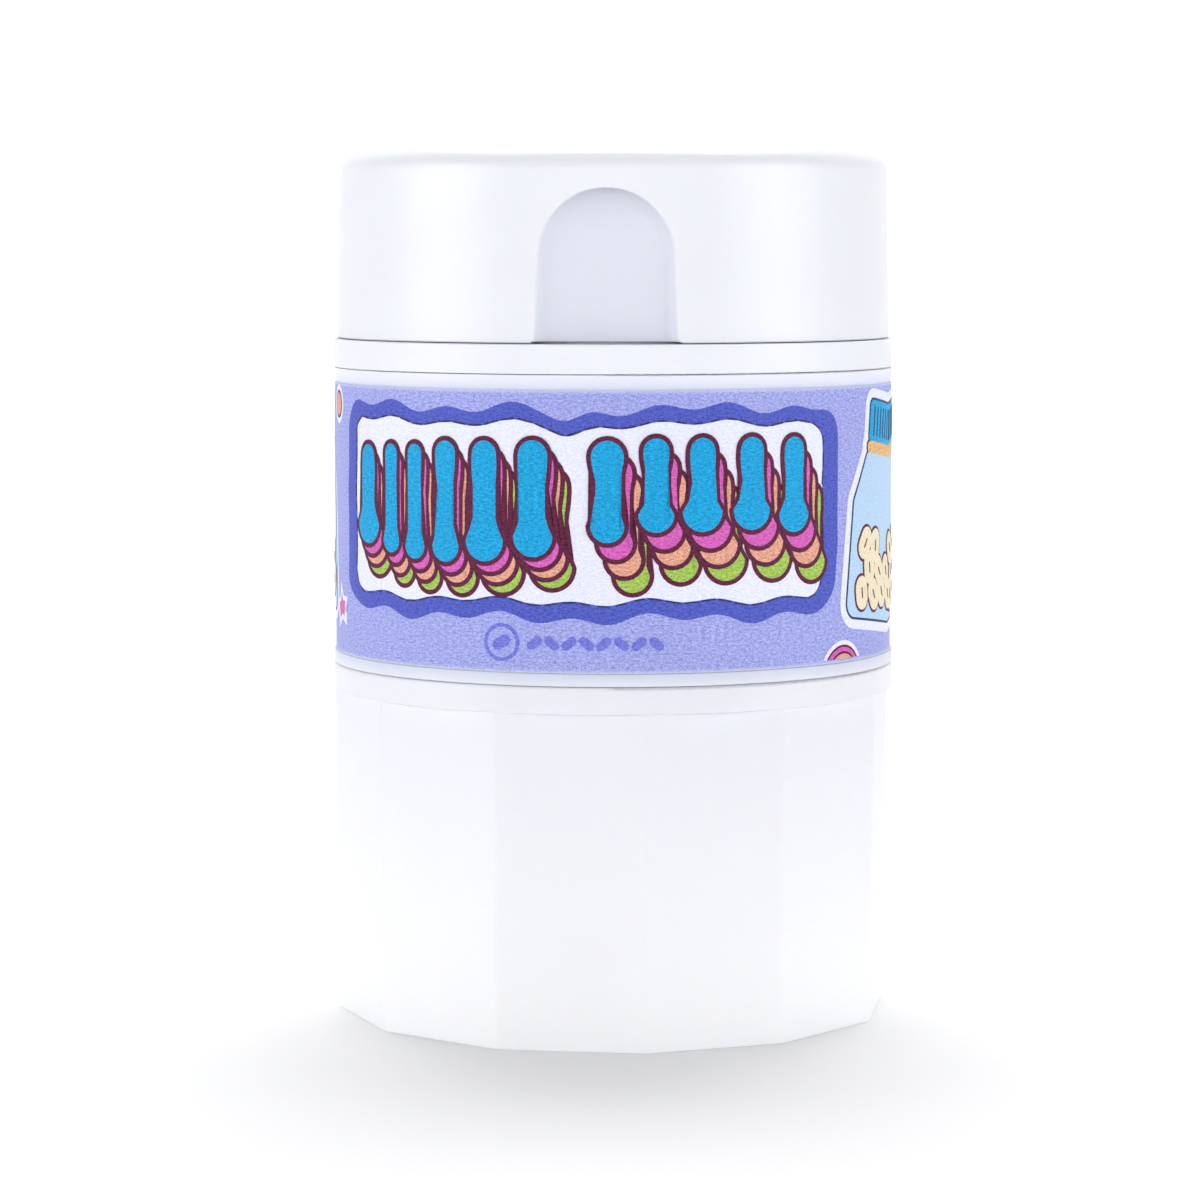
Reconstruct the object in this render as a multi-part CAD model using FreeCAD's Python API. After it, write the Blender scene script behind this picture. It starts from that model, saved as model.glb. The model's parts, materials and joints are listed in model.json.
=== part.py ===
"""Four-in-one pill crusher: drinking cup, screw crusher, pill store and pill cutter in one stack.

Millimetres, +Z up, origin at the centre of the cup's foot. The front is -Y, where the lid's thumb
recess is, and the lid's hinge is at the back, +Y. From the floor up:
  drinking cup      twelve flat sides under a round collar; the crusher base nests in it
  crusher base      threaded chamber with a ribbed floor and the round rim seen above the cup
  body              printed sleeve that carries the threaded plunger and the pill store
  cutter            tray that screws into the body and closes the store, with a V-shaped pill holder
  lid               hinged cap that carries the blade
"""
import FreeCAD
import Part
import math
import os

Vector = FreeCAD.Vector
UP = Vector(0, 0, 1)
CENTRE = Vector(0, 0, 0)

# ---- driving dimensions -------------------------------------------------------------------------
TOTAL_HEIGHT = 80.0
BODY_RADIUS = 26.0
CUP_TOP = 32.75
RIM_TOP = 33.95
BODY_TOP = 60.27
TRAY_TOP = 62.9
PART_LINE = 0.05        # gap left between two pieces that stand on each other

# drinking cup
CUP_SIDES = 12
CUP_PHASE = 7.8         # degrees from the front to the nearest corner, towards +X
CUP_CORNER_TOP = 26.2
CUP_CORNER_FOOT = 25.88
COLLAR_RADIUS = BODY_RADIUS + 0.2
COLLAR_DEPTH = 2.45
CUP_BORE = 23.4
CUP_FLOOR = 1.9
FOOT_RECESS = 0.7
SIDE_ROUNDING = 1.4
FOOT_ROUNDING = 0.1
COLLAR_ROUNDING = 0.25
BORE_ROUNDING = 2.0
FOOT_RING_INNER = 20.9

# drive keys between cup and crusher base
KEYS = 3
KEY_WIDTH = 3.0
KEY_REACH = 0.75
KEY_DROP = 2.8
KEY_GAP = 0.2

# crusher
RIM_RADIUS = 26.2
NECK_RADIUS = 23.2
NECK_DROP = 7.05
CHAMBER_FOOT = 8.0
CHAMBER_FLOOR = 10.0
CHAMBER_OUTER = 22.3
CHAMBER_BORE = 20.4
MOUTH_BORE = 21.6
MOUTH_DEPTH = 2.35
PLUNGER_RADIUS = 18.8
PLUNGER_BORE = 16.8
PLUNGER_FACE = 12.2
PLUNGER_SHOULDER = 21.35
PLUNGER_FLANGE = 22.9
PLUNGER_TOP = 36.0
RIDGES = 12
RIDGE_HEIGHT = 0.9
RIDGE_WIDTH = 1.8
RIDGE_INNER = 3.5
RIDGE_MARGIN = 1.6      # from the ridges' outer ends to the wall round them

# the two screw threads share a lead, and each has two starts
LEAD = 8.0
STARTS = 2
TOOTH_ROOT = 2.1
TOOTH_CREST = 1.2
CRUSHER_TOOTH = 1.3
CUTTER_TOOTH = 0.8
CHAMBER_THREAD = (20.0, 29.2)
PLUNGER_THREAD = (15.5, 29.5)
MOUTH_THREAD = (54.9, 57.9)
CUTTER_THREAD = (55.3, 58.0)

# body and pill store
SHELL_RADIUS = BODY_RADIUS - 0.12
SHELL_BORE = 23.6
BAND_TOP = 58.9         # the printed band ends here, under a bare round shoulder
SHELL_FLOOR = 38.0
SHELL_FLOOR_HOLE = 20.0
SHOULDER_HEIGHT = 0.75
SHOULDER_ROUNDING = 4.0
EDGE = 0.10             # rounding or chamfer of the edges at the part lines
LABEL_THICKNESS = 0.14
STORE_RADIUS = 23.3
STORE_WALL = 1.2
STORE_TOP = 53.1
DIVIDER_THICKNESS = 1.0
DIVIDER_POST = 1.6
DIVIDER_CORNER = 1.2

# cutter tray
CUTTER_NECK = 22.4
CUTTER_NECK_BORE = 20.6
CUTTER_NECK_FOOT = 53.6
MOUTH_WALL = 23.5
MOUTH_FOOT = 53.3
DECK_UNDERSIDE = 61.2
LIP_OUTER = 23.2
LIP_INNER = 22.2
LIP_HEIGHT = 1.15
LIP_CHAMFER = 0.3
CATCH_HALF_WIDTH = 4.5
CATCH_REACH = 0.25
SLOT_WIDTH = 1.6
SLOT_DEPTH = 1.0
SLOT_FRONT = -13.5
SLOT_BACK = 11.5

# pill holder on the tray
HOLDER_PLATE = 1.0
HOLDER_HEIGHT = 4.95
HOLDER_HALF_WIDTH = 11.5
HOLDER_FRONT = -16.0
HOLDER_BACK = 13.5
VEE_TIP = (1.3, 8.0)
VEE_END = (9.4, -8.5)
VEE_WALL = 2.2
PAD_THICKNESS = 0.7
HOLDER_SCREW_X = 8.3
HOLDER_SCREW_Y = 9.0
HOLDER_SCREW_END = 59.0
HOLDER_SCREW_BOSS = 2.3
HOLDER_CORNER = 3.0

# hinge
HINGE_Y = 25.6
HINGE_Z = 64.4
BARREL_RADIUS = 2.1
PIN_RADIUS = 0.8
LUG_INNER = 4.0
LUG_OUTER = 7.3
HINGE_PLAY = 0.2        # side play between lid knuckle and tray lugs

# lid
LID_FOOT = 62.98
LID_RADIUS_FOOT = 25.78
LID_RADIUS_TOP = 25.42
LID_ROUNDING = 1.7
LID_BORE = 23.55
LID_CEILING = 78.0
RECESS_HALF_FOOT = 6.6
RECESS_HALF_TOP = 6.4
RECESS_TOP = 76.6
RECESS_DEPTH = 1.55
RECESS_COVE = 1.4
RECESS_NOTCH = 0.15     # the lid's foot stands this much higher across the recess

# blade and its holder, in the plane x = 0
BLADE_THICKNESS = 0.4
BLADE_EDGE = 62.7
BLADE_TOP = 73.0
BLADE_GRIND = 1.0
BLADE_FRONT = -12.0
BLADE_BACK = 10.0
CLAMP_FOOT = 69.0
CLAMP_HALF_WIDTH = 2.6
CLAMP_PLATE = 74.6
CLAMP_TOP = 76.0
CLAMP_SCREWS_Y = (-16.5, 14.5)
CLAMP_EAR = 3.0
BOSS_RADIUS = 2.6
SCREW_RADIUS = 0.95
SCREW_HEAD_RADIUS = 1.8
SCREW_HEAD_HEIGHT = 1.2
BLADE_SCREW_LENGTH = 4.0

# seals: (cord radius, ring radius, height)
CUP_SEAL = (0.42, 22.93, 26.9)
CRUSHER_SEAL = (0.5, 21.05, 32.9)
CUTTER_SEAL = (0.5, 22.97, 59.6)
SEAL_PLAY = 0.05

EMBED = 0.25            # how far an added feature is sunk into what carries it


# ---- helpers ------------------------------------------------------------------------------------
def outline(corners):
    """Closed wire in the XZ plane through (r, z) or (r, z, rounding) corners."""
    points = [Vector(c[0], 0, c[1]) for c in corners]
    rounding = [c[2] if len(c) > 2 else 0.0 for c in corners]
    starts, ends, arcs = [], [], []
    for i, corner in enumerate(points):
        to_last = (points[i - 1] - corner).normalize()
        to_next = (points[(i + 1) % len(points)] - corner).normalize()
        half = to_last.getAngle(to_next) / 2
        reach = rounding[i] / math.tan(half)
        starts.append(corner + to_last * reach)
        ends.append(corner + to_next * reach)
        if rounding[i]:
            middle = (to_last + to_next).normalize()
            nearest = rounding[i] / math.sin(half) - rounding[i]
            arcs.append(Part.Arc(starts[i], corner + middle * nearest, ends[i]).toShape())
        else:
            arcs.append(None)
    edges = []
    for i, arc in enumerate(arcs):
        if arc:
            edges.append(arc)
        following = starts[(i + 1) % len(points)]
        if ends[i].distanceToPoint(following) > 1e-6:
            edges.append(Part.LineSegment(ends[i], following).toShape())
    return Part.Wire(edges)


def lathe(corners):
    """Solid of revolution about Z."""
    return Part.Face(outline(corners)).revolve(CENTRE, UP, 360)


def block(x0, x1, y0, y1, z0, z1):
    """Box between two corners."""
    return Part.makeBox(x1 - x0, y1 - y0, z1 - z0, Vector(x0, y0, z0))


def rod(radius, z0, z1, x=0.0, y=0.0):
    """Upright cylinder."""
    return Part.makeCylinder(radius, z1 - z0, Vector(x, y, z0), UP)


def cross_rod(radius, x0, x1):
    """Cylinder along the hinge axis."""
    return Part.makeCylinder(radius, x1 - x0, Vector(x0, HINGE_Y, HINGE_Z), Vector(1, 0, 0))


def prism(points, along):
    """Flat polygon pushed along a vector."""
    face = Part.Face(Part.makePolygon(points + points[:1]))
    return face.extrude(along)


def side_prism(yz, x0, x1):
    """Polygon in the YZ plane from x0 to x1."""
    return prism([Vector(x0, y, z) for y, z in yz], Vector(x1 - x0, 0, 0))


def plan_prism(xy, z0, z1):
    """Polygon in plan from z0 to z1."""
    return prism([Vector(x, y, z0) for x, y in xy], Vector(0, 0, z1 - z0))


def turned(shape, degrees):
    """Copy turned about the main axis."""
    copy = shape.copy()
    copy.rotate(CENTRE, UP, degrees)
    return copy


def from_front(degrees):
    """Angle from the front towards +X, as an angle from +X."""
    return degrees - 90.0


def thread(root_radius, tooth_height, inward, phase, z0, z1):
    """Ridges of a right-handed thread, one per start, sunk a little into the wall they stand on."""
    towards = -1.0 if inward else 1.0
    buried = root_radius - towards * EMBED
    crest = root_radius + towards * tooth_height
    flank = (TOOTH_ROOT - TOOTH_CREST) / 2 / tooth_height
    buried_half = TOOTH_ROOT / 2 + flank * EMBED
    ridges = []
    for start in range(STARTS):
        section = Part.Wire(Part.makePolygon([
            Vector(buried, 0, -buried_half),
            Vector(crest, 0, -TOOTH_CREST / 2),
            Vector(crest, 0, TOOTH_CREST / 2),
            Vector(buried, 0, buried_half),
            Vector(buried, 0, -buried_half),
        ]))
        helix = Part.Wire(Part.makeHelix(LEAD, z1 - z0, root_radius).Edges)
        ridge = helix.makePipeShell([section], True, True)
        turns = (z0 - phase - start * LEAD / STARTS) / LEAD
        ridge.rotate(CENTRE, UP, 360.0 * turns)
        ridge.translate(Vector(0, 0, z0))
        ridges.append(ridge)
    return ridges


def crush_ridges(reach, z, height):
    """Radial ridges with a sharp crest; a negative height makes them hang down."""
    sunk = -math.copysign(EMBED, height)
    ridge = prism([
        Vector(RIDGE_INNER, -RIDGE_WIDTH / 2, z + sunk),
        Vector(RIDGE_INNER, -RIDGE_WIDTH / 2, z),
        Vector(RIDGE_INNER, 0, z + height),
        Vector(RIDGE_INNER, RIDGE_WIDTH / 2, z),
        Vector(RIDGE_INNER, RIDGE_WIDTH / 2, z + sunk),
    ], Vector(reach - RIDGE_INNER, 0, 0))
    return [turned(ridge, 360.0 * i / RIDGES) for i in range(RIDGES)]


def pan_screw(x, y, seat, end, head_down):
    """Self-tapping screw with a domed cross head. seat is the height of the face under its head."""
    way = -1.0 if head_down else 1.0
    head_top = seat + way * SCREW_HEAD_HEIGHT
    head = lathe([
        (0, seat), (SCREW_HEAD_RADIUS, seat), (SCREW_HEAD_RADIUS, head_top, 0.5), (0, head_top),
    ])
    shank = rod(SCREW_RADIUS, min(seat, end), max(seat, end))
    recess_floor = seat + way * 0.35
    low, high = sorted((recess_floor, head_top + way))
    arms = block(-1.1, 1.1, -0.25, 0.25, low, high)
    arms = arms.fuse(turned(arms, 90))
    screw = head.fuse(shank).cut(arms)
    screw.translate(Vector(x, y, 0))
    return screw


def seal_ring(seal):
    """O-ring from (cord radius, ring radius, height)."""
    cord, ring, height = seal
    return Part.makeTorus(ring, cord, Vector(0, 0, height), UP)


def groove(seal, inner):
    """Cutter for the outside groove that holds an O-ring."""
    cord, ring, height = seal
    half = cord + 0.1
    return rod(ring + cord + 1.0, height - half, height + half).cut(
        rod(inner, height - half - 1, height + half + 1))


# ---- drinking cup -------------------------------------------------------------------------------
def dodecagon(corner_radius, z):
    corners = []
    for i in range(CUP_SIDES + 1):
        angle = math.radians(from_front(CUP_PHASE + 360.0 * i / CUP_SIDES))
        corners.append(Vector(corner_radius * math.cos(angle), corner_radius * math.sin(angle), z))
    return Part.makePolygon(corners)


def key_block(reach, width, z0, z1):
    """One drive key at a corner of the cup, from inside the neck out to the given radius."""
    key = block(NECK_RADIUS - 1.0, reach, -width / 2, width / 2, z0, z1)
    return turned(key, from_front(CUP_PHASE))


def drinking_cup():
    collar_foot = CUP_TOP - COLLAR_DEPTH
    sides = Part.makeLoft([dodecagon(CUP_CORNER_FOOT, 0), dodecagon(CUP_CORNER_TOP, CUP_TOP - 0.6)],
                          True, True)
    upright = [e for e in sides.Edges if abs(e.Vertexes[0].Z - e.Vertexes[-1].Z) > 1.0]
    sides = sides.makeFillet(SIDE_ROUNDING, upright)
    foot = [e for e in sides.Edges if max(v.Z for v in e.Vertexes) < 0.01]
    sides = sides.makeFillet(FOOT_ROUNDING, foot)
    collar = lathe([
        (0, collar_foot), (COLLAR_RADIUS, collar_foot, 0.1),
        (COLLAR_RADIUS, CUP_TOP, COLLAR_ROUNDING), (0, CUP_TOP),
    ])
    cup = sides.fuse(collar)
    bore = lathe([
        (0, CUP_FLOOR), (CUP_BORE - 0.35, CUP_FLOOR, BORE_ROUNDING), (CUP_BORE - 0.05, 12.0),
        (CUP_BORE, 24.0), (CUP_BORE, CUP_TOP), (CUP_BORE + 0.4, CUP_TOP + 0.4),
        (CUP_BORE + 0.4, CUP_TOP + 1.0), (0, CUP_TOP + 1.0),
    ])
    under = lathe([
        (0, -1.0), (FOOT_RING_INNER + 0.7, -1.0), (FOOT_RING_INNER + 0.3, 0.0),
        (FOOT_RING_INNER, FOOT_RECESS, 0.3), (0, FOOT_RECESS),
    ])
    cup = cup.cut([bore, under])
    slot = key_block(NECK_RADIUS + KEY_REACH + KEY_GAP, KEY_WIDTH + 2 * KEY_GAP,
                     CUP_TOP - KEY_DROP - KEY_GAP, CUP_TOP + 1.0)
    return cup.cut([turned(slot, 360.0 * i / KEYS) for i in range(KEYS)])


# ---- crusher ------------------------------------------------------------------------------------
def crusher_base():
    rim_foot = CUP_TOP + PART_LINE
    body = lathe([
        (0, CHAMBER_FOOT), (CHAMBER_OUTER, CHAMBER_FOOT, 1.2),
        (CHAMBER_OUTER, rim_foot - NECK_DROP - 0.9), (NECK_RADIUS, rim_foot - NECK_DROP),
        (NECK_RADIUS, rim_foot), (RIM_RADIUS, rim_foot, EDGE), (RIM_RADIUS, RIM_TOP, EDGE),
        (MOUTH_BORE, RIM_TOP, 0.3), (MOUTH_BORE, RIM_TOP - MOUTH_DEPTH),
        (CHAMBER_BORE, RIM_TOP - MOUTH_DEPTH - 0.6), (CHAMBER_BORE, CHAMBER_FLOOR, 1.0),
        (0, CHAMBER_FLOOR),
    ])
    teeth = thread(CHAMBER_BORE, CRUSHER_TOOTH, True, LEAD / STARTS / 2, *CHAMBER_THREAD)
    ridges = crush_ridges(CHAMBER_BORE - RIDGE_MARGIN, CHAMBER_FLOOR, RIDGE_HEIGHT)
    body = body.fuse(ridges)
    body = body.fuse(teeth)
    key = key_block(NECK_RADIUS + KEY_REACH, KEY_WIDTH, CUP_TOP - KEY_DROP, rim_foot + 0.2)
    body = body.fuse([turned(key, 360.0 * i / KEYS) for i in range(KEYS)])
    cord, ring, _ = CUP_SEAL
    return body.cut(groove(CUP_SEAL, ring - cord))


def crusher_plunger():
    shoulder_foot = RIM_TOP - MOUTH_DEPTH + 0.4
    flange_foot = RIM_TOP + 0.6
    body = lathe([
        (0, PLUNGER_FACE), (PLUNGER_RADIUS, PLUNGER_FACE, 0.8), (PLUNGER_RADIUS, shoulder_foot),
        (PLUNGER_SHOULDER, shoulder_foot, 0.2), (PLUNGER_SHOULDER, flange_foot),
        (PLUNGER_FLANGE, flange_foot), (PLUNGER_FLANGE, PLUNGER_TOP),
        (PLUNGER_BORE, PLUNGER_TOP), (PLUNGER_BORE, PLUNGER_FACE + 2.0, 1.0),
        (0, PLUNGER_FACE + 2.0),
    ])
    teeth = thread(PLUNGER_RADIUS, CRUSHER_TOOTH, False, 0.0, *PLUNGER_THREAD)
    ridges = crush_ridges(PLUNGER_RADIUS - RIDGE_MARGIN, PLUNGER_FACE, -RIDGE_HEIGHT)
    body = body.fuse(ridges)
    body = body.fuse(teeth)
    cord, ring, _ = CRUSHER_SEAL
    return body.cut(groove(CRUSHER_SEAL, ring - cord - SEAL_PLAY))


# ---- body and pill store ------------------------------------------------------------------------
def body_shell():
    foot = RIM_TOP + PART_LINE
    top = BODY_TOP - PART_LINE
    shell = lathe([
        (PLUNGER_FLANGE + 0.1, foot), (SHELL_RADIUS, foot), (SHELL_RADIUS, BAND_TOP),
        (BODY_RADIUS + 0.05, BAND_TOP + SHOULDER_HEIGHT, SHOULDER_ROUNDING),
        (BODY_RADIUS + 0.05, top, EDGE), (MOUTH_WALL + 0.3, top), (MOUTH_WALL, top - 0.5),
        (MOUTH_WALL, MOUTH_FOOT), (SHELL_BORE, MOUTH_FOOT - 0.2), (SHELL_BORE, SHELL_FLOOR),
        (SHELL_FLOOR_HOLE, SHELL_FLOOR), (SHELL_FLOOR_HOLE, PLUNGER_TOP),
        (PLUNGER_FLANGE + 0.1, PLUNGER_TOP),
    ])
    teeth = thread(MOUTH_WALL, CUTTER_TOOTH, True, LEAD / STARTS / 2, *MOUTH_THREAD)
    return shell.fuse(teeth)


def label_band():
    foot = RIM_TOP + PART_LINE
    top = BAND_TOP - PART_LINE
    outer = SHELL_RADIUS + LABEL_THICKNESS
    return lathe([(SHELL_RADIUS, foot), (outer, foot), (outer, top), (SHELL_RADIUS, top)])


def storage_tray():
    return lathe([
        (0, SHELL_FLOOR), (STORE_RADIUS, SHELL_FLOOR, 0.8), (STORE_RADIUS, STORE_TOP, 0.4),
        (STORE_RADIUS - STORE_WALL, STORE_TOP, 0.4),
        (STORE_RADIUS - STORE_WALL, SHELL_FLOOR + STORE_WALL, 1.0), (0, SHELL_FLOOR + STORE_WALL),
    ])


def storage_divider():
    reach = STORE_RADIUS - STORE_WALL - 0.1
    foot = SHELL_FLOOR + STORE_WALL
    half = DIVIDER_THICKNESS / 2
    top = STORE_TOP - 0.2
    cut = DIVIDER_CORNER
    wall = side_prism([
        (-reach + cut, foot), (reach - cut, foot), (reach, foot + cut), (reach, top - cut),
        (reach - cut, top), (-reach + cut, top), (-reach, top - cut), (-reach, foot + cut),
    ], -half, half)
    return wall.fuse([turned(wall, 90), rod(DIVIDER_POST, foot, top)])


# ---- cutter -------------------------------------------------------------------------------------
def holder_screw_places():
    return [(-HOLDER_SCREW_X, HOLDER_SCREW_Y), (HOLDER_SCREW_X, HOLDER_SCREW_Y)]


def hinge_barrel(x0, x1, web):
    return cross_rod(BARREL_RADIUS, x0, x1).fuse(side_prism(web, x0, x1))


def cutter_tray():
    tray = lathe([
        (0, DECK_UNDERSIDE), (CUTTER_NECK_BORE, DECK_UNDERSIDE, 0.8),
        (CUTTER_NECK_BORE, CUTTER_NECK_FOOT), (CUTTER_NECK, CUTTER_NECK_FOOT, 0.4),
        (CUTTER_NECK, BODY_TOP), (BODY_RADIUS + 0.05, BODY_TOP, EDGE),
        (BODY_RADIUS + 0.05, TRAY_TOP, EDGE), (LIP_OUTER, TRAY_TOP),
        (LIP_OUTER, TRAY_TOP + LIP_HEIGHT - LIP_CHAMFER),
        (LIP_OUTER - LIP_CHAMFER, TRAY_TOP + LIP_HEIGHT), (LIP_INNER, TRAY_TOP + LIP_HEIGHT),
        (LIP_INNER, TRAY_TOP), (0, TRAY_TOP),
    ])
    teeth = thread(CUTTER_NECK, CUTTER_TOOTH, False, 0.0, *CUTTER_THREAD)
    tray = tray.fuse(teeth)
    # the lip stops each side of the hinge, and the deck is hollowed under the lid's knuckle
    tray = tray.cut([
        block(-LUG_OUTER - 1.2, LUG_OUTER + 1.2, 15.0, 30.0, TRAY_TOP, TRAY_TOP + 4),
        cross_rod(BARREL_RADIUS + 0.6, -LUG_INNER, LUG_INNER),
    ])
    lug_web = [
        (HINGE_Y - BARREL_RADIUS, HINGE_Z), (HINGE_Y + BARREL_RADIUS, HINGE_Z),
        (HINGE_Y + 0.2, BODY_TOP + 0.3), (21.0, BODY_TOP + 1.0), (21.0, TRAY_TOP + 0.2),
    ]
    lugs = [hinge_barrel(x0, x0 + LUG_OUTER - LUG_INNER, lug_web)
            for x0 in (-LUG_OUTER, LUG_INNER)]
    tray = tray.fuse(lugs).cut(cross_rod(PIN_RADIUS + 0.01, -LUG_OUTER - 1, LUG_OUTER + 1))
    catch = lathe([
        (LIP_INNER, TRAY_TOP - 0.5), (LIP_OUTER, TRAY_TOP - 0.5), (LIP_OUTER, TRAY_TOP + 1.5),
        (LIP_OUTER + CATCH_REACH, TRAY_TOP + 2.0), (LIP_OUTER, TRAY_TOP + 2.5),
        (LIP_OUTER - 0.3, TRAY_TOP + 2.9), (LIP_INNER, TRAY_TOP + 2.9),
    ]).common(block(-CATCH_HALF_WIDTH, CATCH_HALF_WIDTH, -30, 0, TRAY_TOP - 1, TRAY_TOP + 4))
    slot = block(-SLOT_WIDTH / 2, SLOT_WIDTH / 2, SLOT_FRONT, SLOT_BACK, TRAY_TOP - SLOT_DEPTH,
                 TRAY_TOP + 1)
    bosses = [rod(HOLDER_SCREW_BOSS, HOLDER_SCREW_END - 0.6, DECK_UNDERSIDE + 0.5, x, y)
              for x, y in holder_screw_places()]
    pilots = [rod(SCREW_RADIUS, HOLDER_SCREW_END, TRAY_TOP + 1, x, y)
              for x, y in holder_screw_places()]
    return tray.fuse(bosses + [catch]).cut(pilots + [slot])


def vee_frame():
    """Unit vectors along one arm of the V and across it, away from the pill."""
    along = Vector(VEE_END[0] - VEE_TIP[0], VEE_END[1] - VEE_TIP[1], 0).normalize()
    return along, Vector(-along.y, along.x, 0)


def vee_strip(near, far, trim, z0, z1):
    """Upright strip along each arm, between two distances from the arm's inner face."""
    along, across = vee_frame()
    tip = Vector(VEE_TIP[0], VEE_TIP[1], 0) + along * trim
    end = Vector(VEE_END[0], VEE_END[1], 0) - along * trim
    corners = [tip + across * near, end + across * near, end + across * far, tip + across * far]
    right = plan_prism([(c.x, c.y) for c in corners], z0, z1)
    left = right.mirror(CENTRE, Vector(1, 0, 0))
    return [right, left]


def pill_holder():
    plate_top = TRAY_TOP + HOLDER_PLATE
    plate = block(-HOLDER_HALF_WIDTH, HOLDER_HALF_WIDTH, HOLDER_FRONT, HOLDER_BACK, TRAY_TOP,
                  plate_top)
    upright = [e for e in plate.Edges if abs(e.Vertexes[0].Z - e.Vertexes[-1].Z) > 0.5]
    plate = plate.makeFillet(HOLDER_CORNER, upright)
    arms = vee_strip(0.0, VEE_WALL, 0.0, TRAY_TOP + 0.3, TRAY_TOP + HOLDER_HEIGHT)
    slot = block(-SLOT_WIDTH / 2, SLOT_WIDTH / 2, SLOT_FRONT, SLOT_BACK, TRAY_TOP - 1,
                 TRAY_TOP + 9)
    holes = [rod(SCREW_RADIUS + 0.1, TRAY_TOP - 1, plate_top + 1, x, y)
             for x, y in holder_screw_places()]
    return plate.fuse(arms).cut([slot] + holes)


def grip_pads():
    pads = vee_strip(-PAD_THICKNESS, 0.0, 1.6, TRAY_TOP + HOLDER_PLATE,
                     TRAY_TOP + HOLDER_HEIGHT - 0.4)
    return Part.makeCompound(pads)


def holder_screws():
    return Part.makeCompound([
        pan_screw(x, y, TRAY_TOP + HOLDER_PLATE, HOLDER_SCREW_END + 0.1, False)
        for x, y in holder_screw_places()])


def hinge_pin():
    return cross_rod(PIN_RADIUS, -LUG_OUTER, LUG_OUTER)


# ---- lid ----------------------------------------------------------------------------------------
def recess_tool():
    """The thumb recess as a solid: an arch whose inner edge is a cove, open at the lid's foot."""
    foot = LID_FOOT - 3.0
    spring = RECESS_TOP - RECESS_HALF_TOP * 0.92
    face_y = -(LID_RADIUS_FOOT - RECESS_DEPTH)
    left_foot = Vector(-RECESS_HALF_FOOT, face_y, foot)
    right_foot = Vector(RECESS_HALF_FOOT, face_y, foot)
    left_top = Vector(-RECESS_HALF_TOP, face_y, spring)
    right_top = Vector(RECESS_HALF_TOP, face_y, spring)
    crown = Part.Arc(left_top, Vector(0, face_y, RECESS_TOP), right_top).toShape()
    wire = Part.Wire([
        Part.LineSegment(left_foot, left_top).toShape(), crown,
        Part.LineSegment(right_top, right_foot).toShape(),
        Part.LineSegment(right_foot, left_foot).toShape(),
    ])
    solid = Part.Face(wire).extrude(Vector(0, -6, 0))
    inner = [e for e in solid.Edges
             if all(abs(v.Y - face_y) < 0.01 for v in e.Vertexes)
             and max(v.Z for v in e.Vertexes) > foot + 0.01]
    return solid.makeFillet(RECESS_COVE, inner)


def lid_shell():
    lid = lathe([
        (0, TOTAL_HEIGHT), (0, LID_CEILING), (LID_BORE - 0.2, LID_CEILING, 1.2),
        (LID_BORE, LID_FOOT, 0.2), (LID_RADIUS_FOOT - EDGE, LID_FOOT),
        (LID_RADIUS_FOOT, LID_FOOT + EDGE),
        (LID_RADIUS_TOP, TOTAL_HEIGHT, LID_ROUNDING),
    ])
    lid = lid.cut(recess_tool())
    lid = lid.cut([
        block(-RECESS_HALF_FOOT, RECESS_HALF_FOOT, -30, -20, LID_FOOT - 1, LID_FOOT + RECESS_NOTCH),
        block(-LUG_OUTER - HINGE_PLAY, LUG_OUTER + HINGE_PLAY, 20.0, 30.0, LID_FOOT - 1,
              HINGE_Z + BARREL_RADIUS + 0.5),
    ])
    knuckle_web = [
        (HINGE_Y - 1.9, HINGE_Z), (HINGE_Y + 2.0, HINGE_Z + 0.6), (25.6, 69.5), (23.4, 69.5),
        (23.4, HINGE_Z + 1.6),
    ]
    half = LUG_INNER - HINGE_PLAY
    knuckle = hinge_barrel(-half, half, knuckle_web)
    bosses = [rod(BOSS_RADIUS, CLAMP_TOP, LID_CEILING + 0.5, 0, y) for y in CLAMP_SCREWS_Y]
    pilots = [rod(SCREW_RADIUS, CLAMP_TOP - 1, CLAMP_PLATE + BLADE_SCREW_LENGTH + 0.1, 0, y)
              for y in CLAMP_SCREWS_Y]
    bore = cross_rod(PIN_RADIUS + 0.06, -LUG_OUTER, LUG_OUTER)
    return lid.fuse(bosses + [knuckle]).cut(pilots + [bore])


def blade_holder():
    front, back = CLAMP_SCREWS_Y
    plate = block(-CLAMP_EAR, CLAMP_EAR, front, back, CLAMP_PLATE, CLAMP_TOP)
    ears = [rod(CLAMP_EAR, CLAMP_PLATE, CLAMP_TOP, 0, y) for y in CLAMP_SCREWS_Y]
    jaw = block(-CLAMP_HALF_WIDTH, CLAMP_HALF_WIDTH, BLADE_FRONT - 0.8, BLADE_BACK + 0.8,
                CLAMP_FOOT, CLAMP_PLATE + 0.5)
    low = [e for e in jaw.Edges if all(abs(v.Z - CLAMP_FOOT) < 0.01 for v in e.Vertexes)]
    jaw = jaw.makeChamfer(1.2, low)
    kerf = block(-BLADE_THICKNESS / 2, BLADE_THICKNESS / 2, BLADE_FRONT, BLADE_BACK,
                 CLAMP_FOOT - 1, BLADE_TOP)
    holes = [rod(SCREW_RADIUS + 0.1, CLAMP_PLATE - 1, CLAMP_TOP + 1, 0, y) for y in CLAMP_SCREWS_Y]
    return plate.fuse(ears + [jaw]).cut([kerf] + holes)


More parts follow.
